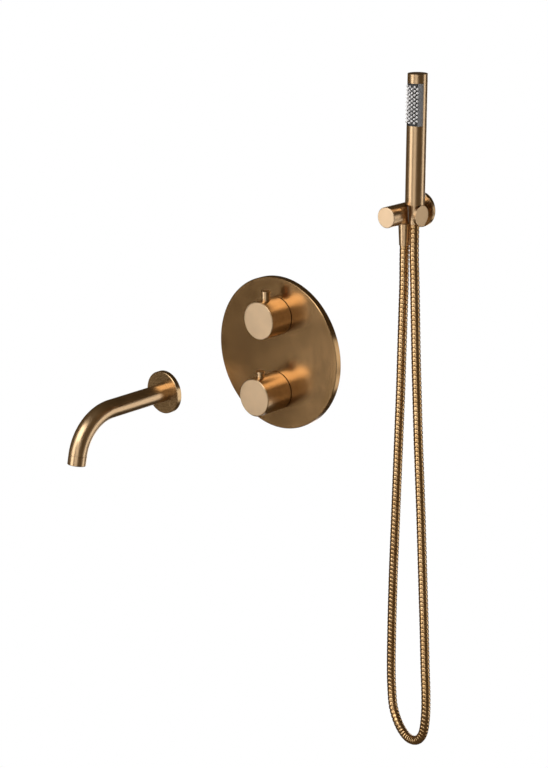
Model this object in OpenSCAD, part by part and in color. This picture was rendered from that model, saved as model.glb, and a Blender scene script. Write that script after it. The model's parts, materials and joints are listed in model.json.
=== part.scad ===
// Wall mounted bath set: bent spout, concealed thermostatic valve with two knobs, hand shower on a hose.
// The wall is the plane y = 0, the room is on the -Y side, and z is up.
// The origin is the centre of the plate's wall face.

/* [Plate] */
// diameter of the round cover plate
plate_d = 210; // [190:1:260]
// thickness of the cover plate
plate_t = 9; // [7:0.5:12]
// distance between the two knob axes
knob_pitch = 105; // [90:1:126]

/* [Knobs] */
// diameter of both knobs
knob_d = 52; // [50:1:64]
// length of the upper, diverter knob
diverter_knob_l = 36.5; // [32:0.5:46]
// length of the lower, temperature knob
temperature_knob_l = 45.5; // [38:0.5:56]
// gap between a knob and the plate
knob_gap = 1; // [0.6:0.1:2]

/* [Spout] */
// sideways distance from the plate centre to the spout
spout_side = 223; // [170:1:300]
// distance of the spout axis below the plate centre
spout_drop = 103; // [0:1:160]
// outside diameter of the spout tube and of the outlet arm
tube_d = 26; // [21.5:0.5:32]
// distance from the wall to the middle of the spout outlet
spout_reach = 177; // [140:1:240]
// radius of the spout bend at the tube's centre line
bend_r = 66; // [50:1:80]
// angle that the spout turns through
bend_angle = 78; // [60:1:90]
// diameter of the spout flange
flange_d = 62; // [54:1:80]

/* [Shower] */
// sideways distance from the plate centre to the outlet arm
arm_side = 233; // [170:1:300]
// height of the outlet arm above the plate centre
arm_rise = 231; // [160:1:320]
// length of the outlet arm from the wall
arm_l = 70; // [60:1:90]
// diameter of the hand shower
handset_d = 24.5; // [20:0.5:30]
// length of the hand shower
handset_l = 160; // [130:1:200]
// distance from the top of the hand shower down to its spray panel
panel_top = 11; // [8:0.5:16]
// height of the spray panel
panel_h = 51.5; // [40:0.5:64]
// diameter of the shower hose
hose_d = 12.5; // [10:0.5:13]

/* [Hidden] */

$fn = 96;
cut = 1;                       // how far a cutter runs past the face it opens
bevel = 0.7;                   // small edge break on the polished parts
fit = 0.1;                     // radial gap of a running fit
push_fit = 0.05;               // radial gap of a piece that is pushed in

tube_r = tube_d / 2;
knob_r = knob_d / 2;
knob_back = plate_t + knob_gap;
upper_z = knob_pitch / 2;
lower_z = -knob_pitch / 2;
g12_r = 10.48;                 // outside radius of a G1/2 thread
g12_bore_r = 9.5;              // wall radius of a G1/2 tapped hole
way_r = 5;                     // radius of the main waterways

// depths measured out from the wall, negative inside it
neck_front = -4;
body_front = -30;
body_back = -72;
pocket_floor = -66;
port_depth = -52;              // the four ports lie at this depth
crossway_depth = -60;          // the way that joins the two cartridges
bracket_t = 3;

neck_r = 18.5;
pocket_r = 15;
housing_r = pocket_r - push_fit;
cavity_r = 12.3;
spindle_r = 4;
spindle_front = 32;
nut_back = -11;
guide_back = -22;
guide_front = 12;
sleeve_r = 21;
sleeve_back = -14;
sleeve_front = 30;
sleeve_gap = 0.3;              // between a trim sleeve and the plate
neck_gap = 0.7;                // between a trim sleeve and the valve's neck
adapter_r = 8;
adapter_back = 14;
hub_r = 13;
hub_back = adapter_back + 2;
knob_wall = 2.7;
front_wall = 3;
cap_t = 1.2;
cap_rim = 1.4;
screw_r = 2.4;
screw_w = adapter_back + 6;    // the grub screws lie this far out from the wall

// pins on the knobs, from the knob's front face back to the pin's axis
diverter_pin_back = 15;
safety_pin_back = 13;
diverter_pin_z = diverter_knob_l - diverter_pin_back;
pin_tenon_r = 3.45;
safety_w = knob_back + temperature_knob_l - safety_pin_back;

// shower station
nut_out = 32;                  // the hose nuts and the cradle lie this far out from the wall
cradle_r = tube_r - 0.2;
seat_gap = 0.5;                // between the hand shower and the cradle under it
socket_shift = 15;             // from the arm axis to the hand shower axis
cradle_end = socket_shift + 11;
handset_r = handset_d / 2;
handset_x = arm_side + socket_shift;
handset_z = arm_rise + tube_r + seat_gap;
nut_top_r = 8.3;
nut_tip_r = 6.8;
nut_h = 27.5;
cone_h = 25;
liner_t = 0.9;
liner_half = 10;
slot_gap = 1.2;                // on each side of the hose in the cradle's slot
slot_half = hose_d / 2 + slot_gap;
slot_reach = 20;
cone_gap = 0.12;
spigot_r = 6.5;
spigot_l = 9;
bore_r = 4;                    // waterway of the shower side
arm_bore_r = min(g12_r - 0.6, tube_r - 2);
hose_nut_top = arm_rise - tube_r;
hose_nut_tip = hose_nut_top - nut_h;
cone_tip = handset_z - cone_h;

// spray panel on the hand shower
panel_high = handset_l - panel_top;
panel_low = panel_high - panel_h;
panel_half = 75.5;             // half of the angle that the panel covers
handset_wall = 1.4;
handset_bore_r = handset_r - handset_wall;
panel_in = handset_bore_r - 1;
core_r = panel_in - 1.85;
nozzle_pitch = 4.85;
nozzle_rows = 1 + floor((panel_h - 6) / nozzle_pitch);
nozzle_columns = 6;
nozzle_step = 15.5;            // angle between two columns
nozzle_r = 0.75;
nozzle_out = 0.5;              // how far the nozzles stand out of the panel

// the hose hangs from the arm's nut and comes back up to the hand shower's cone; the points of its route are
// measured from the arm's axis at the depth of the nuts
hose_r = hose_d / 2;
hose_route = [
    [0, 0, hose_nut_tip - arm_rise], [0, 0, -61], [0, 0.5, -91], [-1, 1, -131], [-2.5, 2, -181],
    [-4, 3, -231], [-6, 4, -281], [-8, 5, -331], [-10, 6, -381], [-12, 7, -431], [-14, 8, -481],
    [-15.5, 9, -531], [-16.5, 10, -581], [-17, 11, -621], [-16, 11.5, -651], [-10, 8.5, -678],
    [6, 1, -696], [28.5, -9, -703], [51, -19, -696], [67, -26.5, -678], [73, -29.5, -651],
    [72.5, -29, -621], [68, -26.5, -581], [62.5, -23, -531], [57, -20, -481], [51.5, -17, -431],
    [46, -14, -381], [40.5, -11.5, -331], [35, -9, -281], [30, -6.5, -231], [25.5, -4.5, -181],
    [21.5, -2.5, -131], [17.5, -0.5, -81], [15.5, 0, -51], [socket_shift, 0, cone_tip - arm_rise]
];
hose_points = [for (p = hose_route) [arm_side, -nut_out, arm_rise] + p];
hose_side = [0.416, 0.909, 0]; // square to the plane that the hose hangs in
hose_sides = 10;

// ---------------------------------------------------------------- helpers

// local z runs out from the wall, local y is up
module at_wall(x = 0, z = 0) {
    translate([x, 0, z]) rotate([90, 0, 0]) children();
}

// a ring between two depths
module ring(r_out, r_in, from, to) {
    translate([0, 0, from])
        difference() {
            cylinder(r = r_out, h = to - from);
            translate([0, 0, -cut]) cylinder(r = r_in, h = to - from + 2 * cut);
        }
}

module rod(r, from, to) {
    translate([0, 0, from]) cylinder(r = r, h = to - from);
}

// a ring whose front outer edge is bevelled
module bevelled_ring(r_out, r_in, from, to) {
    rotate_extrude()
        polygon([[r_in, from], [r_out, from], [r_out, to - bevel], [r_out - bevel, to], [r_in, to]]);
}

function unit(v) = v / norm(v);

// a point on the smooth curve through p, at fraction t of step i
function curve_point(p, i, t) =
    let (
        n = len(p),
        a = p[max(i - 1, 0)],
        b = p[i],
        c = p[min(i + 1, n - 1)],
        d = p[min(i + 2, n - 1)]
    )
    0.5 * (2 * b + (c - a) * t + (2 * a - 5 * b + 4 * c - d) * t * t + (3 * b - a - 3 * c + d) * t * t * t);

function smooth(p, steps) = concat(
    [for (i = [0 : len(p) - 2]) for (k = [0 : steps - 1]) curve_point(p, i, k / steps)],
    [p[len(p) - 1]]
);

// one closed tube swept along path; side is a direction that the path never follows, and the first and
// last rings face along end_a and end_b
module sweep(path, r, sides, side, end_a, end_b) {
    n = len(path);
    rings = [
        for (i = [0 : n - 1])
            let (
                t = i == 0 ? end_a : i == n - 1 ? end_b : unit(path[i + 1] - path[i - 1]),
                u = unit(cross(t, side)),
                v = cross(t, u)
            )
            for (k = [0 : sides - 1])
                path[i] + r * (u * cos(360 * k / sides) + v * sin(360 * k / sides))
    ];
    walls = [
        for (i = [0 : n - 2])
            for (k = [0 : sides - 1])
                let (m = (k + 1) % sides)
                [i * sides + k, i * sides + m, (i + 1) * sides + m, (i + 1) * sides + k]
    ];
    first = [[for (k = [sides - 1 : -1 : 0]) k]];
    last = [[for (k = [0 : sides - 1]) (n - 1) * sides + k]];
    polyhedron(points = rings, faces = concat(walls, first, last), convexity = 10);
}

// a coil spring along local z
module coil(r, wire_r, from, to, turns) {
    per_turn = 12;
    n = turns * per_turn;
    path = [
        for (i = [0 : n])
            [r * cos(360 * i / per_turn), r * sin(360 * i / per_turn),
             from + wire_r + (to - from - 2 * wire_r) * i / n]
    ];
    along = [0, 1, 0];
    sweep(path, wire_r, 6, [0, 0, 1], along, along);
}

// ---------------------------------------------------------------- colours

module bronze() { color([0.71, 0.53, 0.36]) children(); }
module brass() { color([0.80, 0.66, 0.36]) children(); }
module steel() { color([0.72, 0.73, 0.75]) children(); }
module rubber() { color([0.09, 0.09, 0.10]) children(); }
module white_plastic() { color([0.92, 0.92, 0.90]) children(); }
module grey_plastic() { color([0.42, 0.42, 0.44]) children(); }
module ceramic() { color([0.96, 0.94, 0.90]) children(); }

// ---------------------------------------------------------------- plate and valve body

gasket_in = plate_d / 2 - 13;
gasket_out = plate_d / 2 - 5;
gasket_t = 2;
seal_w = 2.2;                  // radial width of the seal between plate and sleeve
seal_h = 2;
seal_from = 3;
neck_seal_h = 2.5;
tick_w = 0.8;
tick_l = 5;
tick_depth = 0.4;
tick_from = 3;                 // from the knob's edge

module tick(angle) {
    rotate([0, 0, angle])
        translate([knob_r + tick_from, -tick_w / 2, plate_t - tick_depth])
            cube([tick_l, tick_w, tick_depth + cut]);
}

module escutcheon_plate() {
    bronze() at_wall() difference() {
        bevelled_ring(plate_d / 2, 0, 0, plate_t);
        for (z = [upper_z, lower_z])
            translate([0, z, 0]) {
                rod(sleeve_r + sleeve_gap, -cut, plate_t + cut);
                rod(sleeve_r + seal_w, seal_from, seal_from + seal_h + 2 * fit);
                for (angle = [0, 90]) tick(angle);
            }
        ring(gasket_out, gasket_in, -cut, gasket_t);
    }
}

module plate_gasket() {
    rubber() at_wall() ring(gasket_out, gasket_in, 0, gasket_t);
}

body_r = 24;
body_bar_w = 30;
port_r = 14;
port_end = 46;
port_thread = 12;
check_r = 7.5;
check_in = 20;
check_l = 11;
check_way_r = 3;
strainer_t = 1.5;

module valve_body() {
    brass() at_wall() difference() {
        union() {
            translate([-body_bar_w / 2, lower_z, body_back])
                cube([body_bar_w, knob_pitch, body_front - body_back]);
            for (z = [upper_z, lower_z])
                translate([0, z, 0]) {
                    rod(body_r, body_back, body_front);
                    rod(neck_r, body_front - cut, neck_front);
                    translate([-port_end, 0, port_depth]) rotate([0, 90, 0])
                        cylinder(r = port_r, h = 2 * port_end);
                }
        }
        for (z = [upper_z, lower_z])
            translate([0, z, 0]) {
                rod(pocket_r, pocket_floor, neck_front + cut);
                for (side = [0, 180])
                    rotate([0, 0, side]) translate([0, 0, port_depth]) rotate([0, 90, 0]) {
                        rod(way_r, 0, port_end);
                        rod(check_r, check_in, port_end);
                        rod(g12_bore_r, port_end - port_thread, port_end + cut);
                    }
            }
        translate([0, lower_z, crossway_depth]) rotate([-90, 0, 0]) cylinder(r = way_r, h = knob_pitch);
        bracket_holes(body_back - cut, body_back + bracket_screw_l + 1, bracket_screw_r + push_fit);
    }
}

// the two screws that hold the valve body to its bracket
bracket_screw_z = 18;
bracket_screw_r = 2.05;
bracket_screw_l = 9;           // how deep the screws go into the body
bracket_clear_r = 2.6;
bracket_head_r = 4.5;
bracket_head_h = 3;

module bracket_holes(from, to, r) {
    for (side = [-1, 1]) translate([0, side * bracket_screw_z, 0]) rod(r, from, to);
}

bracket_w = 130;
bracket_h = 150;
anchor_x = 110;
anchor_z = 130;
anchor_r = 3.25;

module mounting_bracket() {
    back = body_back - bracket_t;
    steel() at_wall() difference() {
        translate([-bracket_w / 2, -bracket_h / 2, back]) cube([bracket_w, bracket_h, bracket_t]);
        for (x = [-1, 1])
            for (z = [-1, 1])
                translate([x * anchor_x / 2, z * anchor_z / 2, 0]) rod(anchor_r, back - cut, body_back + cut);
        bracket_holes(back - cut, body_back + cut, bracket_clear_r);
    }
}

module bracket_screws() {
    back = body_back - bracket_t;
    steel() at_wall() union() {
        bracket_holes(back, body_back + bracket_screw_l, bracket_screw_r);
        bracket_holes(back - bracket_head_h, back, bracket_head_r);
    }
}

// both inlets are on the lower port pair
module at_inlets() {
    for (side = [0, 180])
        at_wall(0, lower_z) rotate([0, 0, side]) translate([0, 0, port_depth]) rotate([0, 90, 0]) children();
}

module check_valves() {
    white_plastic() at_inlets() ring(check_r - push_fit, check_way_r, check_in, check_in + check_l);
}

module inlet_strainers() {
    from = check_in + check_l;
    steel() at_inlets() difference() {
        rod(check_r - push_fit, from, from + strainer_t);
        for (angle = [0 : 60 : 300])
            rotate([0, 0, angle]) translate([4, 0, 0]) strainer_hole(from);
        strainer_hole(from);
    }
}

module strainer_hole(from) { rod(1.1, from - cut, from + strainer_t + cut); }

module trim_sleeve(z) {
    bronze() at_wall(0, z) ring(sleeve_r, neck_r + neck_gap, sleeve_back, sleeve_front);
}

module sleeve_seals() {
    rubber() for (z = [upper_z, lower_z]) at_wall(0, z) {
        ring(sleeve_r + seal_w, sleeve_r, seal_from + fit, seal_from + fit + seal_h);
        ring(neck_r + neck_gap, neck_r, sleeve_back + 2, sleeve_back + 2 + neck_seal_h);
    }
}

// a cartridge housing: open at the back, guide bore at the front
module housing(z) {
    at_wall(0, z) difference() {
        rotate_extrude()
            polygon([
                [cavity_r, pocket_floor], [housing_r, pocket_floor], [housing_r, nut_back],
                [adapter_r, nut_back], [adapter_r, guide_front], [spindle_r + fit, guide_front],
                [spindle_r + fit, guide_back], [cavity_r, guide_back]
            ]);
        // one way in from each side
        translate([0, 0, port_depth]) rotate([0, 90, 0]) rod(way_r - 1, -pocket_r - cut, pocket_r + cut);
    }
}

module diverter_housing() { white_plastic() housing(upper_z); }
module thermostat_housing() { brass() housing(lower_z); }

nut_gap = 0.3;
nut_slot = [4.5, 2.4, 3];      // the slots that the nut is turned by

module retaining_nuts() {
    brass() for (z = [upper_z, lower_z]) at_wall(0, z) difference() {
        ring(housing_r, adapter_r + nut_gap, nut_back, neck_front);
        for (angle = [0 : 60 : 300])
            rotate([0, 0, angle])
                translate([adapter_r, -nut_slot.y / 2, neck_front - nut_slot.z]) cube(nut_slot + [0, 0, cut]);
    }
}

// the pair of ceramic discs that send the water to the spout or to the hand shower
disc_t = 4;
disc_way_x = 7;
disc_way_r = 3;
disc_inlet_r = 2.5;
disc_gap = 0.1;
turning_disc_back = pocket_floor + disc_t + disc_gap;

module disc_hole(r, back) { rod(r, back - cut, back + disc_t + cut); }

module fixed_disc() {
    ceramic() at_wall(0, upper_z) difference() {
        rod(cavity_r - push_fit, pocket_floor, pocket_floor + disc_t);
        for (side = [-1, 1])
            translate([side * disc_way_x, 0, 0]) disc_hole(disc_way_r, pocket_floor);
        disc_hole(disc_inlet_r, pocket_floor);
    }
}

stop_ring_r = 13;
stop_ring_h = 6;
stop_notch = 6;

module temperature_stop_ring() {
    white_plastic() at_wall(0, lower_z) difference() {
        ring(stop_ring_r, adapter_r, neck_front, neck_front + stop_ring_h);
        translate([-stop_notch / 2, adapter_r + 1.5, neck_front + 2]) cube(stop_notch);
    }
}

// the thermostat's element, shuttle and return spring, from the back of the pocket outwards
return_spring_r = 8.5;
return_wire_r = 0.7;
return_spring_front = -53;
return_turns = 4;
wax_r = 5;
wax_back = -60;
wax_front = -40;
shuttle_back = port_depth;
shuttle_front = -45;
pusher_r = 8;
pusher_front = -26;
pusher_floor = -37;
temperature_spindle_back = -34;

module return_spring() {
    steel() at_wall(0, lower_z)
        coil(return_spring_r, return_wire_r, pocket_floor, return_spring_front, return_turns);
}

// ---------------------------------------------------------------- knobs

// a cup with a hub, open towards the plate
module knob_shell(z, length) {
    front = knob_back + length;
    floor_w = front - cap_t - front_wall;
    at_wall(0, z) difference() {
        rotate_extrude()
            polygon([
                [adapter_r, hub_back], [hub_r, hub_back], [hub_r, floor_w],
                [knob_r - knob_wall, floor_w], [knob_r - knob_wall, knob_back], [knob_r, knob_back],
                [knob_r, front - bevel], [knob_r - bevel, front], [knob_r - cap_rim, front],
                [knob_r - cap_rim, front - cap_t], [adapter_r, front - cap_t]
            ]);
        // way in for the grub screw, from below
        translate([0, 0, screw_w]) rotate([90, 0, 0]) cylinder(r = screw_r + push_fit, h = knob_r + cut);
    }
}

module knob_front(z, length) {
    front = knob_back + length;
    bronze() at_wall(0, z) rod(knob_r - cap_rim, front - cap_t, front);
}

key_r = 1.3;
key_depth = 2;

module grub_screw(z) {
    end = hub_r - 0.4;
    steel() at_wall(0, z) translate([0, 0, screw_w]) rotate([90, 0, 0])
        difference() {
            rod(screw_r, adapter_r, end);
            translate([0, 0, end - key_depth]) cylinder(r = key_r, h = key_depth + cut, $fn = 6);
        }
}

module spline_adapter(z, length) {
    white_plastic() at_wall(0, z) difference() {
        rod(adapter_r, adapter_back, knob_back + length - cap_t);
        rod(spindle_r, adapter_back - cut, spindle_front);
    }
}

module diverter_knob() {
    bronze() difference() {
        knob_shell(upper_z, diverter_knob_l);
        at_wall(0, upper_z) translate([0, 0, knob_back + diverter_pin_z]) rotate([-90, 0, 0])
            cylinder(r = pin_tenon_r + push_fit, h = knob_r + cut);
    }
}

module diverter_cap() { knob_front(upper_z, diverter_knob_l); }
module diverter_screw() { grub_screw(upper_z); }
module diverter_adapter() { spline_adapter(upper_z, diverter_knob_l); }

pin_h = 12.4;
pin_r = 5.9;
pin_cap_r = 6.4;
pin_cap_h = 2;
pin_sink = 1.2;                // how far the pin's foot reaches below the top of the knob

module diverter_pin() {
    bronze() at_wall(0, upper_z) translate([0, 0, knob_back + diverter_pin_z]) rotate([-90, 0, 0]) union() {
        rod(pin_tenon_r, knob_r - knob_wall, knob_r);
        difference() {
            rod(pin_r, knob_r - pin_sink, knob_r + pin_h - pin_cap_h);
            rotate([90, 0, 0]) cylinder(r = knob_r, h = 4 * pin_r, center = true);
        }
        rod(pin_cap_r, knob_r + pin_h - pin_cap_h, knob_r + pin_h);
    }
}

module diverter_spindle() {
    brass() at_wall(0, upper_z) union() {
        rod(spindle_r, turning_disc_back + disc_t + 2, spindle_front);
        rod(10, turning_disc_back + disc_t, turning_disc_back + 2 * disc_t);
    }
}

module rotating_disc() {
    ceramic() at_wall(0, upper_z) difference() {
        rod(cavity_r - 0.3, turning_disc_back, turning_disc_back + disc_t);
        translate([disc_way_x, 0, 0]) disc_hole(disc_way_r, turning_disc_back);
    }
}

safety_r = 5.25;
safety_bore_r = 4.6;
safety_floor = knob_r - 7;
safety_floor_t = 1.2;
safety_stem_top = knob_r + 3.4;
safety_travel = 2.2;
safety_cap_low = safety_stem_top + safety_travel + 0.4;
safety_cap_h = 2.4;
safety_cap_r = 6.15;
safety_spring_r = 3.2;
safety_wire_r = 0.35;
safety_turns = 5;

// local z of the children runs up out of the temperature knob
module at_safety_pin() {
    at_wall(0, lower_z) translate([0, 0, safety_w]) rotate([-90, 0, 0]) children();
}

module temperature_knob() {
    bronze() difference() {
        knob_shell(lower_z, temperature_knob_l);
        at_safety_pin() rod(safety_r, safety_floor - 2, knob_r + cut);
    }
}

module temperature_cap() { knob_front(lower_z, temperature_knob_l); }
module temperature_screw() { grub_screw(lower_z); }
module temperature_adapter() { spline_adapter(lower_z, temperature_knob_l); }

module temperature_spindle() {
    brass() at_wall(0, lower_z) rod(spindle_r, temperature_spindle_back, spindle_front);
}

module safety_sleeve() {
    bronze() at_safety_pin() difference() {
        rod(safety_r, safety_floor, safety_stem_top);
        rod(safety_bore_r, safety_floor + safety_floor_t, safety_stem_top + cut);
    }
}

module safety_button() {
    bronze() at_safety_pin() union() {
        rod(safety_bore_r - fit, knob_r, safety_cap_low);
        rod(safety_cap_r, safety_cap_low, safety_cap_low + safety_cap_h);
    }
}

module safety_spring() {
    steel() at_safety_pin()
        coil(safety_spring_r, safety_wire_r, safety_floor + safety_floor_t, knob_r, safety_turns);
}

// ---------------------------------------------------------------- thermostat element

module wax_element() {
    brass() at_wall(0, lower_z) union() {
        rod(wax_r, wax_back, wax_front);
        rod(2, wax_back - 2, wax_back);
    }
}

module shuttle() {
    white_plastic() at_wall(0, lower_z) difference() {
        ring(cavity_r - 0.3, wax_r, shuttle_back, shuttle_front);
        for (angle = [0 : 90 : 270])
            rotate([0, 0, angle]) translate([return_spring_r, 0, 0])
                rod(2.2, shuttle_back - cut, shuttle_front + cut);
    }
}

module pusher_nut() {
    brass() at_wall(0, lower_z) difference() {
        rod(pusher_r, wax_front, pusher_front);
        rod(spindle_r + fit, pusher_floor, pusher_front + cut);
    }
}

// ---------------------------------------------------------------- spout

bend_y = bend_r * sin(bend_angle);
aerator_h = 14;
spout_straight = spout_reach - bend_y - aerator_h * cos(bend_angle);
spout_x = -spout_side;
spout_z = -spout_drop;
spout_wall = 2;
spout_bore_r = tube_r - spout_wall;
spout_screw_w = 11;
flange_t = 7.5;
nipple_l = 25;
nipple_in = 14;
nipple_bore_r = 7;
nipple_groove = 3;             // where the nipple's seal lies, and how wide it is
nipple_groove_t = 1.5;

// the spout's course filled solid to radius r, bending towards -x
module spout_course(r, from) {
    rod(r, from, spout_straight);
    translate([-bend_r, 0, spout_straight]) rotate([90, 0, 0])
        rotate_extrude(angle = bend_angle) translate([bend_r, 0]) circle(r = r);
}

module spout_tube() {
    bronze() at_wall(spout_x, spout_z) rotate([0, 0, 90]) difference() {
        spout_course(tube_r, 0.5);
        spout_course(spout_bore_r, -cut);
        // tapped hole for the grub screw, from below
        translate([0, 0, spout_screw_w]) rotate([0, -90, 0]) cylinder(r = screw_r, h = tube_r + cut);
    }
}

module spout_flange() {
    bronze() at_wall(spout_x, spout_z) bevelled_ring(flange_d / 2, tube_r + fit, 0, flange_t);
}

// a G1/2 nipple whose free end goes into the wall elbow
module nipple(front_r, front) {
    union() {
        ring(g12_r, nipple_bore_r, -nipple_l, 0);
        ring(front_r, nipple_bore_r, -cut, front);
    }
}

module spout_nipple() {
    brass() at_wall(spout_x, spout_z) difference() {
        nipple(spout_bore_r - push_fit, nipple_in);
        ring(spout_bore_r + cut, spout_bore_r - nipple_groove_t, nipple_groove, 2 * nipple_groove);
    }
}

module spout_seal() {
    from = nipple_groove + push_fit;
    to = 2 * nipple_groove - push_fit;
    rubber() at_wall(spout_x, spout_z) ring(spout_bore_r, spout_bore_r - nipple_groove_t, from, to);
}

module spout_screw() {
    steel() at_wall(spout_x, spout_z) translate([0, 0, spout_screw_w]) rotate([90, 0, 0])
        rod(screw_r - push_fit, spout_bore_r, tube_r - 0.1);
}

// local z runs from the end of the bend to the outlet
module at_outlet() {
    at_wall(spout_x, spout_z)
        translate([0, -bend_r * (1 - cos(bend_angle)), spout_straight + bend_y])
            rotate([bend_angle, 0, 0]) children();
}

aerator_lip = 1.6;
aerator_wall = 2.6;
sleeve_wall = 4;               // the shell narrows where it is pushed into the tube
sleeve_in = 3;
washer_from = 2;
washer_t = 2;
insert_sink = 1.5;

module aerator_shell() {
    bronze() at_outlet() rotate_extrude()
        polygon([
            [spout_bore_r - fit, -sleeve_in], [spout_bore_r - fit, 0.2], [tube_r, 0.2],
            [tube_r, aerator_h - bevel], [tube_r - bevel, aerator_h], [tube_r - aerator_lip, aerator_h],
            [tube_r - aerator_wall, aerator_h - 1], [tube_r - aerator_wall, washer_from],
            [tube_r - sleeve_wall, washer_from], [tube_r - sleeve_wall, -sleeve_in]
        ]);
}

module aerator_insert() {
    ring_step = (tube_r - aerator_wall) / 3.6;
    white_plastic() at_outlet() difference() {
        rod(tube_r - aerator_wall - push_fit, washer_from + washer_t, aerator_h - insert_sink);
        for (ring_index = [1 : 3])
            for (k = [0 : 6 * ring_index - 1])
                rotate([0, 0, 60 * k / ring_index]) translate([ring_step * ring_index, 0, 0])
                    rod(1.05, aerator_h - 5, aerator_h);
    }
}

module aerator_washer() {
    rubber() at_outlet()
        ring(tube_r - aerator_wall - push_fit, tube_r - 5, washer_from, washer_from + washer_t);
}

// ---------------------------------------------------------------- outlet arm and cradle

rosette_r = tube_r + 9.3;
rosette_t = 5;
rosette_seal_w = 2;
rosette_seal_from = 1.5;
arm_cap_t = 2;
arm_nipple_in = 12;

module wall_rosette() {
    bronze() at_wall(arm_side, arm_rise) difference() {
        bevelled_ring(rosette_r, tube_r + fit, 0, rosette_t);
        rosette_seal_ring();
    }
}

module rosette_seal_ring() {
    ring(tube_r + rosette_seal_w, tube_r, rosette_seal_from, rosette_seal_from + 2);
}

module rosette_seal() { rubber() at_wall(arm_side, arm_rise) rosette_seal_ring(); }

module outlet_arm() {
    bronze() at_wall(arm_side, arm_rise) difference() {
        union() {
            rod(tube_r, 0.5, arm_l - arm_cap_t);
            translate([0, 0, nut_out]) rotate([90, 0, 0]) rod(spigot_r, 0, tube_r + spigot_l);
        }
        rod(arm_bore_r, 0, arm_nipple_in + cut);
        rod(bore_r, arm_nipple_in, nut_out + bore_r);
        translate([0, 0, nut_out]) rotate([90, 0, 0]) rod(bore_r, 0, tube_r + spigot_l + cut);
        // back to the part's own frame for the socket
        rotate([-90, 0, 0]) translate([-arm_side, 0, -arm_rise]) socket_space();
    }
}

module arm_cap() {
    bronze() at_wall(arm_side, arm_rise) bevelled_ring(tube_r, 0, arm_l - arm_cap_t, arm_l);
}

module arm_nipple() {
    brass() at_wall(arm_side, arm_rise) nipple(arm_bore_r - push_fit, arm_nipple_in);
}

// a round cone about the hand shower's axis, larger by grow, run on past both of its ends
module socket_cone(grow) {
    translate([handset_x, -nut_out, cone_tip])
        rotate_extrude()
            polygon([
                [0, -cone_h], [nut_tip_r + grow, -cone_h], [nut_tip_r + grow, 0], [nut_top_r + grow, cone_h],
                [nut_top_r + grow, 2 * cone_h], [0, 2 * cone_h]
            ]);
}

// the open front of the socket, through which the hose is lifted in
module socket_slot() {
    translate([handset_x - slot_half, -nut_out - slot_reach, arm_rise - 2 * tube_r])
        cube([2 * slot_half, slot_reach, 4 * tube_r]);
}

// what the socket takes out of the arm and the cradle
module socket_space() {
    socket_cone(cone_gap + liner_t);
    socket_slot();
}

module cradle_bar(r) {
    translate([arm_side, -nut_out, arm_rise]) rotate([0, 90, 0]) rod(r, 2, cradle_end);
}

module cradle() {
    bronze() difference() {
        cradle_bar(cradle_r);
        at_wall(arm_side, arm_rise) rod(tube_r, 0, arm_l);
        translate([arm_side, -nut_out, hose_nut_top - spigot_l]) cylinder(r = spigot_r, h = tube_d);
        socket_space();
    }
}

module cradle_liner() {
    white_plastic() difference() {
        intersection() {
            socket_cone(cone_gap + liner_t);
            translate([handset_x, -nut_out, arm_rise]) rod(2 * nut_top_r, -liner_half, liner_half);
        }
        socket_cone(cone_gap);
        socket_slot();
    }
}

// a conical nut, wide end up, with a thread bore at the top
module conical_nut(x, tip, h, thread_h) {
    translate([x, -nut_out, tip]) rotate_extrude()
        polygon([
            [bore_r, 0], [nut_tip_r, 0], [nut_top_r, h], [spigot_r + push_fit, h],
            [spigot_r + push_fit, h - thread_h], [bore_r, h - thread_h]
        ]);
}

hose_washer_t = 2;

module hose_nut() { bronze() conical_nut(arm_side, hose_nut_tip, nut_h, spigot_l + hose_washer_t); }

module hose_washer() {
    rubber() translate([arm_side, -nut_out, hose_nut_top])
        ring(spigot_r, bore_r, -spigot_l - hose_washer_t, -spigot_l);
}

module hose() {
    bronze() sweep(smooth(hose_points, 2), hose_r, hose_sides, hose_side, [0, 0, -1], [0, 0, 1]);
}

module hose_cone() { bronze() conical_nut(handset_x, cone_tip, cone_h, spigot_l + 1); }

// ---------------------------------------------------------------- hand shower

handset_floor = 3;
handset_top_t = 4;
core_gap = 0.1;                // between the core and the floor of the tube
core_ring_h = 4;               // the rings above and below the spray panel
core_hole_pitch = 8;
core_hole_r = 2;

module at_handset() {
    translate([handset_x, -nut_out, handset_z]) children();
}

// a sector of a ring, centred on the side that faces away from the wall
module sector(r_out, r_in, from, to, half) {
    rotate([0, 0, -90 - half]) translate([0, 0, from]) rotate_extrude(angle = 2 * half)
        polygon([[r_in, 0], [r_out, 0], [r_out, to - from], [r_in, to - from]]);
}

module handset_tube() {
    bronze() at_handset() difference() {
        union() {
            ring(handset_r, handset_bore_r, 0, handset_l);
            ring(handset_r - 0.5, spigot_r, 0.2, handset_floor);
        }
        sector(handset_r + cut, handset_bore_r - 0.2, panel_low, panel_high, panel_half);
    }
}

module handset_top() {
    bronze() at_handset() rod(handset_bore_r, handset_l - handset_top_t, handset_l);
}

// the nozzles' pins, in staggered columns
module nozzle_pins(from, to) {
    low = (panel_low + panel_high) / 2 - nozzle_pitch * (nozzle_rows - 1) / 2;
    for (column = [0 : nozzle_columns - 1]) {
        angle = (column - (nozzle_columns - 1) / 2) * nozzle_step;
        odd = column % 2;
        for (row = [0 : nozzle_rows - 1 - odd])
            rotate([0, 0, angle]) translate([0, 0, low + nozzle_pitch * (row + odd / 2)]) rotate([90, 0, 0])
                rod(nozzle_r, from, to);
    }
}

module spray_panel() {
    grey_plastic() at_handset() difference() {
        sector(handset_r, panel_in, panel_low, panel_high, panel_half - 0.1);
        nozzle_pins(panel_in - cut, handset_r + cut);
    }
}

module spray_nozzles() {
    white_plastic() at_handset() nozzle_pins(panel_in, handset_r + nozzle_out);
}

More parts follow.
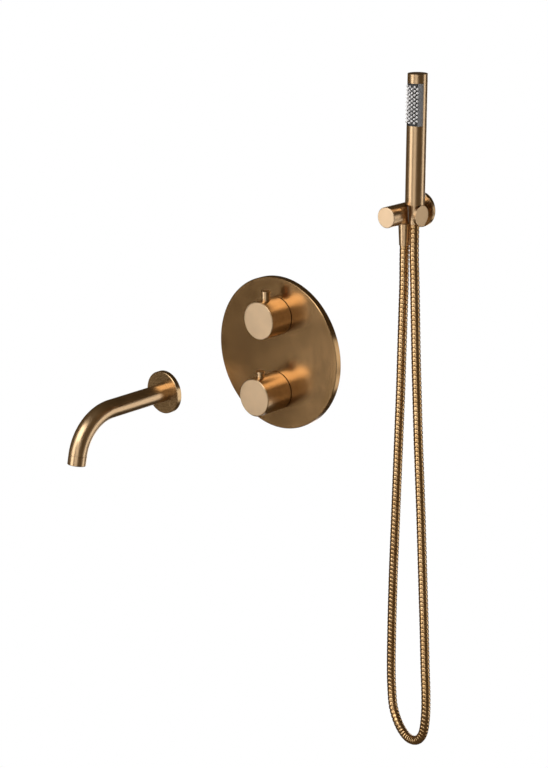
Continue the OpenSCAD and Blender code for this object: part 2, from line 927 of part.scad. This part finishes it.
module handset_core() {
    white_plastic() at_handset() difference() {
        union() {
            rod(core_r, handset_floor + core_gap, panel_high + core_ring_h);
            rod(spigot_r - push_fit, -spigot_l, handset_floor + 1);
            for (z = [panel_low - core_ring_h, panel_high])
                ring(handset_bore_r, core_r - 1, z, z + core_ring_h);
        }
        rod(way_r, handset_floor - 1, panel_high + 1);
        rod(bore_r - 0.5, -spigot_l - cut, handset_floor);
        for (k = [0 : floor(panel_h / core_hole_pitch) - 1])
            translate([0, 0, panel_low + core_ring_h + core_hole_pitch * k]) rotate([90, 0, 0])
                rod(core_hole_r, 0, core_r + cut);
    }
}

module flow_restrictor() {
    rubber() at_handset() ring(way_r, 1.5, handset_floor - 1, handset_floor + 2);
}

// ---------------------------------------------------------------- the assembly

module diverter_sleeve() { trim_sleeve(upper_z); }
module thermostat_sleeve() { trim_sleeve(lower_z); }

escutcheon_plate();
plate_gasket();
valve_body();
mounting_bracket();
bracket_screws();
check_valves();
inlet_strainers();
diverter_sleeve();
thermostat_sleeve();
sleeve_seals();
diverter_housing();
thermostat_housing();
retaining_nuts();
fixed_disc();
temperature_stop_ring();
return_spring();
diverter_knob();
diverter_cap();
diverter_pin();
diverter_screw();
diverter_adapter();
diverter_spindle();
rotating_disc();
temperature_knob();
temperature_cap();
temperature_screw();
temperature_adapter();
temperature_spindle();
safety_sleeve();
safety_button();
safety_spring();
wax_element();
shuttle();
pusher_nut();
spout_tube();
spout_flange();
spout_nipple();
spout_seal();
spout_screw();
aerator_shell();
aerator_insert();
aerator_washer();
wall_rosette();
rosette_seal();
outlet_arm();
arm_cap();
arm_nipple();
cradle();
cradle_liner();
hose_nut();
hose_washer();
hose();
hose_cone();
handset_tube();
handset_top();
spray_panel();
spray_nozzles();
handset_core();
flow_restrictor();
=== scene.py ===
"""Looks of the wall mounted bath set: brushed bronze, a ribbed metal hose and a plain white studio."""

import json
import math

import bmesh
import bpy
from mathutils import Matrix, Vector


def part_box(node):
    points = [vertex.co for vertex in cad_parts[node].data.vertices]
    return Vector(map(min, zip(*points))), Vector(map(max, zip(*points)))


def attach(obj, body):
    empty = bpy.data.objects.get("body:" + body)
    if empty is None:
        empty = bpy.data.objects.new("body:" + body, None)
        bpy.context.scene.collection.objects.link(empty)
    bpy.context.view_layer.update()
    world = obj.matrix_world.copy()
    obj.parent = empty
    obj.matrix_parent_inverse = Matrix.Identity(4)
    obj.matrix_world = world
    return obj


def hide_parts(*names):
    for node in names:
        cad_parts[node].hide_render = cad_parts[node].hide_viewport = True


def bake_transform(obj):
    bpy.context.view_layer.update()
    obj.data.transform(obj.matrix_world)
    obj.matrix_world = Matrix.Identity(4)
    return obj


MM = 0.001

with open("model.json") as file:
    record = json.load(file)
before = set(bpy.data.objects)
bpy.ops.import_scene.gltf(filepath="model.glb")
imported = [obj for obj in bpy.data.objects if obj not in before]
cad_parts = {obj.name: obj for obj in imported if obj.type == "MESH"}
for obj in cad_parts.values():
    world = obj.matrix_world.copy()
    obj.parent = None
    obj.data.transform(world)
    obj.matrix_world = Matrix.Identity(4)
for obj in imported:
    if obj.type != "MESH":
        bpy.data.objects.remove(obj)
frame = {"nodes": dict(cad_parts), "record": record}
nodes = frame["nodes"]
slot_of = {part["node"]: part["material_slot"] for part in frame["record"]["subparts"]}
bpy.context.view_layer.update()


def centre(node):
    low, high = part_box(node)
    return (low + high) / 2


def direction(azimuth, elevation):
    """A unit vector. Azimuth 0 points into the room, 90 along +x, both in degrees."""
    a = math.radians(azimuth)
    e = math.radians(elevation)
    return Vector((math.sin(a) * math.cos(e), -math.cos(a) * math.cos(e), math.sin(e)))


def add_object(name, data):
    """A new object in the scene, made of that mesh, light or camera."""
    made = bpy.data.objects.new(name, data)
    bpy.context.scene.collection.objects.link(made)
    return made


# ---------------------------------------------------------------- camera

CAMERA_AZIMUTH = 42.0
CAMERA_ELEVATION = 17.2
CAMERA_DISTANCE = 2.7084
CAMERA_LENS = 93.75
AIM = Vector((1.1, -16.4, -41.7)) * MM


def make_camera():
    data = bpy.data.cameras.new("camera")
    data.lens = CAMERA_LENS
    data.sensor_width = 36.0
    camera = add_object("camera", data)
    back = direction(CAMERA_AZIMUTH, CAMERA_ELEVATION)
    camera.location = AIM + back * CAMERA_DISTANCE
    camera.rotation_euler = (-back).to_track_quat("-Z", "Y").to_euler()
    bpy.context.scene.camera = camera


# ---------------------------------------------------------------- node graphs

class Graph:
    """Builds one node tree: every method adds a node and gives back its output."""

    def __init__(self, tree):
        self.tree = tree
        tree.nodes.clear()

    def plug(self, socket, value):
        if isinstance(value, bpy.types.NodeSocket):
            self.tree.links.new(value, socket)
        else:
            socket.default_value = value

    def add(self, kind, output=0, settings=None, **inputs):
        node = self.tree.nodes.new(kind)
        for name, value in (settings or {}).items():
            setattr(node, name, value)
        for name, value in inputs.items():
            key = int(name[1:]) if name[0] == "i" and name[1:].isdigit() else name.replace("_", " ")
            self.plug(node.inputs[key], value)
        return node.outputs[output]

    def math(self, operation, a, b=0.0, clamp=False):
        return self.add("ShaderNodeMath", settings={"operation": operation, "use_clamp": clamp}, i0=a, i1=b)

    def vector(self, operation, a, b=(0.0, 0.0, 0.0), output=0):
        return self.add("ShaderNodeVectorMath", output, {"operation": operation}, i0=a, i1=b)

    def place(self):
        return self.add("ShaderNodeTexCoord", "Object")

    def noise(self, vector, scale, detail=2.0, roughness=0.5):
        return self.add("ShaderNodeTexNoise", "Fac", None, Vector=vector, Scale=scale, Detail=detail,
                        Roughness=roughness)

    def spread(self, value, low, high, to_low, to_high):
        """Value from low to high becomes to_low to to_high."""
        return self.add("ShaderNodeMapRange", 0, None, Value=value, From_Min=low, From_Max=high,
                        To_Min=to_low, To_Max=to_high)

    def blend(self, amount, first, second, kind="MIX"):
        node = self.tree.nodes.new("ShaderNodeMix")
        node.data_type = "RGBA"
        node.blend_type = kind
        self.plug(node.inputs[0], amount)
        self.plug(node.inputs[6], first)
        self.plug(node.inputs[7], second)
        return node.outputs[2]

    def bump(self, height, distance, strength, normal=None):
        inputs = {"Height": height, "Distance": distance, "Strength": strength}
        if normal is not None:
            inputs["Normal"] = normal
        return self.add("ShaderNodeBump", 0, None, **inputs)

    def edge(self, radius):
        """0 on flat metal, 1 on an edge, and the normal that rounds the edge."""
        rounded = self.add("ShaderNodeBevel", 0, {"samples": 4}, Radius=radius)
        flat = self.add("ShaderNodeNewGeometry", "Normal")
        match = self.vector("DOT_PRODUCT", rounded, flat, output="Value")
        return self.spread(match, 1.0, 0.85, 0.0, 1.0), rounded

    def finish(self, **inputs):
        node = self.tree.nodes.new("ShaderNodeBsdfPrincipled")
        for name, value in inputs.items():
            self.plug(node.inputs[name.replace("_", " ")], value)
        out = self.tree.nodes.new("ShaderNodeOutputMaterial")
        self.tree.links.new(node.outputs[0], out.inputs["Surface"])


def new_material(name):
    material = bpy.data.materials.new(name)
    material.use_nodes = True
    return material, Graph(material.node_tree)


def rgb(red, green, blue):
    return (red, green, blue, 1.0)


# ---------------------------------------------------------------- metals

BRONZE = rgb(0.62, 0.43, 0.25)
BRONZE_LIGHT = rgb(0.86, 0.64, 0.42)
BRONZE_MID = rgb(0.62, 0.42, 0.22)
BRONZE_WORN = rgb(0.80, 0.58, 0.36)
BRONZE_DARK = rgb(0.52, 0.32, 0.145)
BRONZE_DARK_WORN = rgb(0.66, 0.45, 0.27)
BRASS = rgb(0.66, 0.50, 0.21)
STEEL = rgb(0.55, 0.56, 0.58)
EDGE = 0.45 * MM
EDGE_WEAR = 0.55
FINE_GRAIN = 9000.0
COARSE_GRAIN = 1500.0
GRAIN_DEPTH = 0.0015 * MM
CLOUDS = 28.0
G12_PITCH = 1.814 * MM
THREAD_DEPTH = 0.9 * MM

# drawn metal is brushed along one axis: its marks are 50 times as long that way
ALONG_X = (0.02, 1.0, 1.0)
ALONG_Y = (1.0, 0.02, 1.0)
ALONG_Z = (1.0, 1.0, 0.02)


def turned_about(axis_point):
    """Turning marks round an axis along y: they follow the distance from it and the depth along it."""
    def place_of(graph):
        away = graph.vector("SUBTRACT", graph.place(), tuple(axis_point))
        parts = graph.add("ShaderNodeSeparateXYZ", 0, None, Vector=away).node.outputs
        across = graph.add("ShaderNodeCombineXYZ", 0, None, X=parts[0], Z=parts[2])
        radius = graph.vector("LENGTH", across, output="Value")
        return graph.add("ShaderNodeCombineXYZ", 0, None, X=radius, Y=parts[1])
    return place_of


def drawn(stretch):
    """Brushing marks that run along one axis."""
    return lambda graph: graph.vector("MULTIPLY", graph.place(), stretch)


def darker(colour, share):
    """The colour with its red, green and blue brought down to that share."""
    return rgb(*(part * share for part in colour[:3]))


def metal(name, colour, worn, rough, place_of, grain=FINE_GRAIN):
    """A brushed metal: fine lines in the bump, cloudy colour and roughness, brighter edges."""
    material, graph = new_material(name)
    place = place_of(graph)
    lines = graph.noise(place, grain, 2.0, 0.5)
    clouds = graph.noise(graph.place(), CLOUDS, 4.0, 0.55)
    wear, rounded = graph.edge(EDGE)
    base = graph.blend(graph.spread(clouds, 0.35, 0.65, 0.0, 1.0), darker(colour, 0.90), colour)
    base = graph.blend(graph.spread(lines, 0.3, 0.7, 0.0, 0.16), base, worn)
    base = graph.blend(graph.math("MULTIPLY", wear, EDGE_WEAR), base, worn)
    roughness = graph.math("ADD", graph.spread(lines, 0.3, 0.7, -0.03, 0.03), rough)
    roughness = graph.math("ADD", roughness, graph.spread(clouds, 0.3, 0.7, -0.02, 0.02))
    normal = graph.bump(lines, GRAIN_DEPTH, 0.6, rounded)
    graph.finish(Base_Color=base, Metallic=1.0, Roughness=roughness, Normal=normal)
    return material


def turned_metal(node, colour, worn, rough):
    """Metal turned about the node's own axis, which runs along y."""
    return metal(node + "_metal", colour, worn, rough, turned_about(centre(node)))


def threaded(name, colour, rough, pitch):
    """Raw metal with thread lines across y; the grooves are painted darker, as painted shade."""
    material, graph = new_material(name)
    place = graph.place()
    depth = graph.add("ShaderNodeSeparateXYZ", 0, None, Vector=place).node.outputs[1]
    turn = graph.math("MULTIPLY", depth, 1.0 / pitch)
    groove = graph.math("PINGPONG", turn, 0.5)
    clouds = graph.noise(place, 60.0, 4.0)
    # painted shade: the bottoms of the thread grooves are darkened to 0.45 of the colour
    base = graph.blend(graph.spread(groove, 0.0, 0.3, 0.0, 1.0), darker(colour, 0.45), colour)
    roughness = graph.spread(clouds, 0.3, 0.7, rough - 0.06, rough + 0.08)
    graph.finish(Base_Color=base, Metallic=1.0, Roughness=roughness,
                 Normal=graph.bump(groove, THREAD_DEPTH, 0.9))
    return material


# ---------------------------------------------------------------- plastics, rubber and ceramic

ORANGE_PEEL = 2520.0
ORANGE_PEEL_DEPTH = 0.02 * MM
MOTTLING = 52.5
MOULD_EDGE = 0.3 * MM


def moulded(name, colour, rough, sheen=0.0, painted_shade_of=None):
    """A moulded surface: faint mottling and a fine orange-peel bump; the optional mask says where painted
    shade darkens it.
    """
    material, graph = new_material(name)
    place = graph.place()
    fine = graph.noise(place, ORANGE_PEEL, 3.0)
    broad = graph.noise(place, MOTTLING, 3.0)
    base = graph.blend(graph.spread(broad, 0.3, 0.7, 0.0, 1.0), darker(colour, 0.82), colour)
    if painted_shade_of:
        # painted shade: where the mask says, the base colour is brought down almost to black, standing in
        # for shade
        base = graph.blend(painted_shade_of(graph), base, darker(colour, 0.08))
    roughness = graph.spread(fine, 0.3, 0.7, rough - 0.05, rough + 0.05)
    _, rounded = graph.edge(MOULD_EDGE)
    graph.finish(Base_Color=base, Roughness=roughness, Sheen_Weight=sheen,
                 Normal=graph.bump(fine, ORANGE_PEEL_DEPTH, 0.4, rounded))
    return material


def painted_shade_between_nozzles(graph):
    """Painted shade for the spray panel: 1 on the side that the nozzles stand on, where it is painted
    darker, 0 beside them.
    """
    outs = [out for _, out in nozzle_places()]
    facing = sum(outs, Vector()).normalized()
    last_row = min(out.dot(facing) for out in outs)
    away = graph.vector("SUBTRACT", graph.place(), tuple(centre("handset_tube")))
    across = graph.vector("NORMALIZE", graph.vector("MULTIPLY", away, (1.0, 1.0, 0.0)))
    turn = graph.vector("DOT_PRODUCT", across, tuple(facing), output="Value")
    return graph.spread(turn, last_row - 0.08, last_row, 0.0, 1.0)


BRUSHED = {
    "spout_tube": ALONG_Y, "aerator_shell": ALONG_Z, "cradle": ALONG_X, "hose_nut": ALONG_Z,
    "hose_cone": ALONG_Z, "handset_tube": ALONG_Z, "handset_top": ALONG_X,
    "diverter_pin": ALONG_Z, "safety_sleeve": ALONG_Z, "safety_button": ALONG_Z,
}
THREADED = ("spout_nipple", "arm_nipple")
FRONT_CAPS = ("diverter_cap", "temperature_cap", "arm_cap")
WALL_COVERS = ("spout_flange", "wall_rosette")


def slot_materials():
    """One material for each slot whose pieces all look alike."""
    brass_worn = rgb(0.8, 0.66, 0.35)
    steel_worn = rgb(0.75, 0.76, 0.78)
    return {
        "brass": metal("brass", BRASS, brass_worn, 0.34, drawn(ALONG_Y), COARSE_GRAIN),
        "steel": metal("steel", STEEL, steel_worn, 0.3, drawn(ALONG_X), COARSE_GRAIN),
        "rubber": moulded("rubber", rgb(0.012, 0.012, 0.013), 0.62, sheen=0.15),
        "white_plastic": moulded("white_plastic", rgb(0.72, 0.71, 0.68), 0.42),
        # the spray panel is painted almost black between its nozzles, as painted shade
        "grey_silicone": moulded("grey_silicone", rgb(0.30, 0.31, 0.335), 0.5, painted_shade_of=painted_shade_between_nozzles),
        "ceramic": moulded("ceramic", rgb(0.82, 0.79, 0.73), 0.16),
        "hose_metal": metal("hose_core", BRONZE, BRONZE_WORN, 0.3, drawn(ALONG_Z)),
    }


def shown_metal(node):
    """The bronze of one node, turned or brushed as that piece is made."""
    if slot_of[node] == "bronze_dark":
        return turned_metal(node, BRONZE_DARK, BRONZE_DARK_WORN, 0.22)
    if node in FRONT_CAPS:
        return turned_metal(node, BRONZE_LIGHT, BRONZE_WORN, 0.42)
    if node in WALL_COVERS:
        return turned_metal(node, BRONZE_MID, BRONZE_WORN, 0.26)
    if node in BRUSHED:
        return metal(node + "_metal", BRONZE, BRONZE_WORN, 0.31, drawn(BRUSHED[node]))
    return turned_metal(node, BRONZE, BRONZE_WORN, 0.29)


def paint_nodes():
    """Every CAD node gets its material: the shown metals one each, the rest one for each slot."""
    by_slot = slot_materials()
    thread = threaded("thread", BRASS, 0.36, G12_PITCH)
    for name, part in nodes.items():
        if name in THREADED:
            material = thread
        else:
            material = by_slot.get(slot_of[name]) or shown_metal(name)
        part.data.materials.clear()
        part.data.materials.append(material)


# ---------------------------------------------------------------- shapes made of rings

def ring_faces(first, rings, sides):
    """Faces that join rings of points and close both ends; first is the number of the first point."""
    faces = []
    for ring in range(rings - 1):
        a = first + ring * sides
        b = a + sides
        for k in range(sides):
            m = (k + 1) % sides
            faces.append((a + k, a + m, b + m, b + k))
    last = first + (rings - 1) * sides
    faces.append(tuple(first + k for k in reversed(range(sides))))
    faces.append(tuple(last + k for k in range(sides)))
    return faces


def ringed_mesh(name, verts, faces):
    """A mesh whose sides are smooth and whose ends are flat."""
    mesh = bpy.data.meshes.new(name)
    mesh.from_pydata([tuple(v) for v in verts], [], faces)
    mesh.polygons.foreach_set("use_smooth", [len(p.vertices) == 4 for p in mesh.polygons])
    return mesh


# ---------------------------------------------------------------- hose

HOSE_D = 12.5 * MM
RIB_PITCH = 5.8 * MM
RIB_DEPTH = 1.1 * MM
GROOVE_SHARPNESS = 14
CREST_IN = 0.2 * MM
RINGS_PER_RIB = 12
HOSE_SIDES = 18
STEPS_PER_SPAN = 24
HOSE_SIDE = Vector((0.416, 0.909, 0.0)).normalized()
HOSE_BRONZE = rgb(0.60, 0.40, 0.21)
HOSE_BRONZE_DARK = rgb(0.50, 0.31, 0.14)
HOSE_GRAIN = 1400.0
HOSE_GRAIN_DEPTH = 0.01 * MM
HOSE_CLOUDS = 70.0

# the hose's route, in mm from the arm's axis at the depth of the two nuts
ROUTE = (
    (0, 0, -61), (0, 0.5, -91), (-1, 1, -131), (-2.5, 2, -181),
    (-4, 3, -231), (-6, 4, -281), (-8, 5, -331), (-10, 6, -381), (-12, 7, -431), (-14, 8, -481),
    (-15.5, 9, -531), (-16.5, 10, -581), (-17, 11, -621), (-16, 11.5, -651), (-10, 8.5, -678),
    (6, 1, -696), (28.5, -9, -703), (51, -19, -696), (67, -26.5, -678), (73, -29.5, -651),
    (72.5, -29, -621), (68, -26.5, -581), (62.5, -23, -531), (57, -20, -481), (51.5, -17, -431),
    (46, -14, -381), (40.5, -11.5, -331), (35, -9, -281), (30, -6.5, -231), (25.5, -4.5, -181),
    (21.5, -2.5, -131), (17.5, -0.5, -81), (15.5, 0, -51),
)
# one more than its place in the list, because the nut's end comes before the first point
LOWEST = min(range(len(ROUTE)), key=lambda i: ROUTE[i][2]) + 1


def under(node):
    """The middle of a round node's lower end."""
    low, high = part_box(node)
    return Vector(((low.x + high.x) / 2, (low.y + high.y) / 2, low.z))


def curve_point(p, i, t):
    """The point at fraction t of span i on the smooth curve through p."""
    a = p[max(i - 1, 0)]
    b = p[i]
    c = p[min(i + 1, len(p) - 1)]
    d = p[min(i + 2, len(p) - 1)]
    bend = 2 * a - 5 * b + 4 * c - d
    twist = 3 * b - a - 3 * c + d
    return 0.5 * (2 * b + (c - a) * t + bend * t * t + twist * t ** 3)


def evenly(points, step):
    """Points at even distances along the line through points."""
    lengths = [0.0]
    for a, b in zip(points, points[1:]):
        lengths.append(lengths[-1] + (b - a).length)
    count = max(2, round(lengths[-1] / step))
    found = []
    i = 0
    for k in range(count + 1):
        want = lengths[-1] * k / count
        while i < len(points) - 2 and lengths[i + 1] < want:
            i += 1
        share = (want - lengths[i]) / (lengths[i + 1] - lengths[i])
        found.append(points[i].lerp(points[i + 1], min(share, 1.0)))
    return found, lengths[-1]


def rib_radius(phase):
    """The hose's radius at that fraction of a rib: a flat crest a little under size, and a groove."""
    groove = (0.5 + 0.5 * math.cos(2 * math.pi * phase)) ** GROOVE_SHARPNESS
    return HOSE_D / 2 - CREST_IN - RIB_DEPTH * groove


def ribbed_tube(name, path, start, first_way, last_way):
    """A closed tube along path whose ribs wind round it; start is the length that lies before it."""
    ways = [first_way] + [(b - a).normalized() for a, b in zip(path, path[2:])] + [last_way]
    before = [path[0]] + path[:-1]
    verts = []
    run = start
    for last, point, along in zip(before, path, ways):
        run += (point - last).length
        u = along.cross(HOSE_SIDE).normalized()
        v = along.cross(u)
        for k in range(HOSE_SIDES):
            angle = 2 * math.pi * k / HOSE_SIDES
            radius = rib_radius(run / RIB_PITCH + k / HOSE_SIDES)
            verts.append(point + (u * math.cos(angle) + v * math.sin(angle)) * radius)
    mesh = ringed_mesh(name, verts, ring_faces(0, len(path), HOSE_SIDES))
    made = bmesh.new()
    made.from_mesh(mesh)
    bmesh.ops.recalc_face_normals(made, faces=made.faces)
    made.to_mesh(mesh)
    made.free()
    return add_object(name, mesh)


def hose_material():
    """Bronze strip, a little smoother than the brushed fittings."""
    material, graph = new_material("hose_metal")
    place = graph.place()
    fine = graph.noise(place, HOSE_GRAIN, 3.0)
    clouds = graph.noise(place, HOSE_CLOUDS, 3.0)
    base = graph.blend(graph.spread(clouds, 0.35, 0.65, 0.0, 1.0), HOSE_BRONZE_DARK, HOSE_BRONZE)
    roughness = graph.spread(fine, 0.3, 0.7, 0.20, 0.28)
    graph.finish(Base_Color=base, Metallic=1.0, Roughness=roughness,
                 Normal=graph.bump(fine, HOSE_GRAIN_DEPTH, 0.5))
    return material


def make_hose():
    """Two halves that meet at the lowest point: one is attached to the wall set, the other is left loose
    where it lies.
    """
    top = under("hose_nut")
    end = under("hose_cone")
    arm = Vector((top.x, top.y, centre("arm_cap").z))
    route = [top] + [arm + Vector(p) * MM for p in ROUTE] + [end]
    steps = [t / STEPS_PER_SPAN for t in range(STEPS_PER_SPAN)]
    spans = [[curve_point(route, i, t) for t in steps] for i in range(len(route) - 1)]
    first = [p for span in spans[:LOWEST] for p in span] + [route[LOWEST]]
    second = [p for span in spans[LOWEST:] for p in span] + [end]
    ring_step = RIB_PITCH / RINGS_PER_RIB
    first, first_length = evenly(first, ring_step)
    second, second_length = evenly(second, ring_step)
    turn = (second[1] - first[-2]).normalized()
    up = Vector((0, 0, 1))
    still = ribbed_tube("hose_wall_side", first, 0.0, -up, turn)
    moving = ribbed_tube("hose_handset_side", second, first_length, turn, up)
    material = hose_material()
    for half in (still, moving):
        half.data.materials.append(material)
    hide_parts("hose")
    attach(still, "wall_set")
    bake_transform(moving)


# ---------------------------------------------------------------- spray nozzles

NOZZLE_BASE_R = 1.55 * MM
NOZZLE_TIP_R = 1.0 * MM
NOZZLE_OUT = 1.6 * MM
NOZZLE_ROOT = 0.6 * MM
NOZZLE_SIDES = 14
SPRAY_HOLE_R = 0.42 * MM
SPRAY_HOLE_INNER_R = 0.34 * MM


def nozzle_places():
    """Where each CAD nozzle leaves the hand shower's axis, and which way it points."""
    made = bmesh.new()
    made.from_mesh(nodes["spray_nozzles"].data)
    bmesh.ops.remove_doubles(made, verts=made.verts, dist=1e-6)
    made.verts.ensure_lookup_table()
    seen = set()
    axis = centre("handset_tube")
    places = []
    for vert in made.verts:
        if vert.index in seen:
            continue
        group = [vert]
        seen.add(vert.index)
        for member in group:
            for edge in member.link_edges:
                other = edge.other_vert(member)
                if other.index not in seen:
                    seen.add(other.index)
                    group.append(other)
        middle = sum((member.co for member in group), Vector()) / len(group)
        out = Vector((middle.x - axis.x, middle.y - axis.y, 0.0)).normalized()
        places.append((Vector((axis.x, axis.y, middle.z)), out))
    made.free()
    return places


def make_nozzles():
    """Rounded silicone nipples, each with a small hole in its tip."""
    low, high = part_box("handset_tube")
    skin = (high.x - low.x) / 2
    profile = (
        (NOZZLE_BASE_R, -NOZZLE_ROOT), (NOZZLE_BASE_R, 0.0),
        (NOZZLE_BASE_R * 0.93, 0.35 * NOZZLE_OUT), (NOZZLE_TIP_R * 1.12, 0.80 * NOZZLE_OUT),
        (NOZZLE_TIP_R * 0.85, NOZZLE_OUT), (SPRAY_HOLE_R, NOZZLE_OUT),
        (SPRAY_HOLE_INNER_R, 0.6 * NOZZLE_OUT),
    )
    verts = []
    faces = []
    up = Vector((0, 0, 1))
    for base, out in nozzle_places():
        side = up.cross(out)
        faces += ring_faces(len(verts), len(profile), NOZZLE_SIDES)
        for radius, height in profile:
            for k in range(NOZZLE_SIDES):
                angle = 2 * math.pi * k / NOZZLE_SIDES
                spoke = side * math.cos(angle) + up * math.sin(angle)
                verts.append(base + out * (skin + height) + spoke * radius)
    mesh = ringed_mesh("spray_nipples", verts, faces)
    mesh.materials.append(moulded("nozzle_silicone", rgb(0.96, 0.96, 0.98), 0.26))
    piece = add_object("spray_nipples", mesh)
    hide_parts("spray_nozzles")
    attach(piece, "handset")


# ---------------------------------------------------------------- safety spring

def make_safety_spring():
    """The spring under the safety button, copied from the CAD node as one fixed piece."""
    coil = add_object("safety_coil", nodes["safety_spring"].data.copy())
    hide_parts("safety_spring")
    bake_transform(coil)


# ---------------------------------------------------------------- studio

WALL_SIZE = 6.0
FLOOR_Z = -0.66
WALL_Y = 0.0005
AMBIENT = rgb(1.0, 0.74, 0.42)
AMBIENT_IN_FRONT = 0.11
AMBIENT_BEHIND = 0.06


def paper_material(name):
    """Plain white for the camera from the front, and nothing at all for the light and for the metal."""
    material, graph = new_material(name)
    seen = graph.add("ShaderNodeLightPath", "Is Camera Ray")
    behind = graph.add("ShaderNodeNewGeometry", "Backfacing")
    amount = graph.math("MULTIPLY", seen, graph.math("SUBTRACT", 1.0, behind))
    clear = graph.add("ShaderNodeBsdfTransparent")
    white = graph.add("ShaderNodeEmission", 0, None, Color=rgb(1, 1, 1), Strength=1.0)
    mixed = graph.add("ShaderNodeMixShader", 0, None, i0=amount, i1=clear, i2=white)
    out = graph.tree.nodes.new("ShaderNodeOutputMaterial")
    graph.tree.links.new(mixed, out.inputs["Surface"])
    return material


def make_sheet(name, location, normal, size, material):
    mesh = bpy.data.meshes.new(name)
    half = size / 2
    corners = [(-half, -half, 0), (half, -half, 0), (half, half, 0), (-half, half, 0)]
    mesh.from_pydata(corners, [], [(0, 1, 2, 3)])
    mesh.materials.append(material)
    sheet = add_object(name, mesh)
    sheet.location = location
    sheet.rotation_euler = Vector(normal).to_track_quat("Z", "Y").to_euler()


def softbox(name, azimuth, elevation, distance, width, height, radiance):
    """An area light that faces the object; radiance is how bright it looks in a mirror."""
    data = bpy.data.lights.new(name, "AREA")
    data.shape = "RECTANGLE"
    data.size = width
    data.size_y = height
    data.energy = 4 * radiance * width * height
    light = add_object(name, data)
    way = direction(azimuth, elevation)
    light.location = way * distance
    light.rotation_euler = way.to_track_quat("Z", "Y").to_euler()


def make_world():
    """White to the camera; to the metal a dim warm room, a little darker behind the wall."""
    world = bpy.data.worlds.new("studio")
    world.use_nodes = True
    bpy.context.scene.world = world
    graph = Graph(world.node_tree)
    seen = graph.add("ShaderNodeLightPath", "Is Camera Ray")
    way = graph.add("ShaderNodeTexCoord", "Generated")
    behind = graph.add("ShaderNodeSeparateXYZ", 0, None, Vector=way).node.outputs[1]
    glow = graph.spread(behind, 0.0, 0.5, AMBIENT_IN_FRONT, AMBIENT_BEHIND)
    dim = graph.add("ShaderNodeBackground", 0, None, Color=AMBIENT, Strength=glow)
    white = graph.add("ShaderNodeBackground", 0, None, Color=rgb(1, 1, 1), Strength=1.0)
    mixed = graph.add("ShaderNodeMixShader", 0, None, i0=seen, i1=dim, i2=white)
    out = graph.tree.nodes.new("ShaderNodeOutputWorld")
    graph.tree.links.new(mixed, out.inputs["Surface"])


def make_studio():
    paper = paper_material("paper")
    make_sheet("backdrop_wall", (0, WALL_Y, 0), (0, -1, 0), WALL_SIZE, paper)
    make_sheet("floor", (0, -WALL_SIZE / 2, FLOOR_Z), (0, 0, 1), WALL_SIZE, paper)
    make_world()
    # name, azimuth, elevation, distance, width, height, radiance
    softbox("key_high", -3, 40, 3.0, 3.0, 1.75, 2.6)
    softbox("key_low", -20, -2, 3.0, 1.5, 2.6, 1.75)
    softbox("fill", 26, -4, 3.0, 1.7, 2.6, 0.75)
    softbox("rim", 128, -9, 8.0, 3.0, 6.4, 1.25)
    softbox("rim_low", 149, -31, 6.0, 2.4, 1.3, 0.8)
    softbox("back", -155, -16, 5.0, 2.6, 3.6, 1.3)
    bpy.context.scene.view_settings.view_transform = "Standard"


make_camera()
make_hose()
paint_nodes()
make_nozzles()
make_safety_spring()
make_studio()
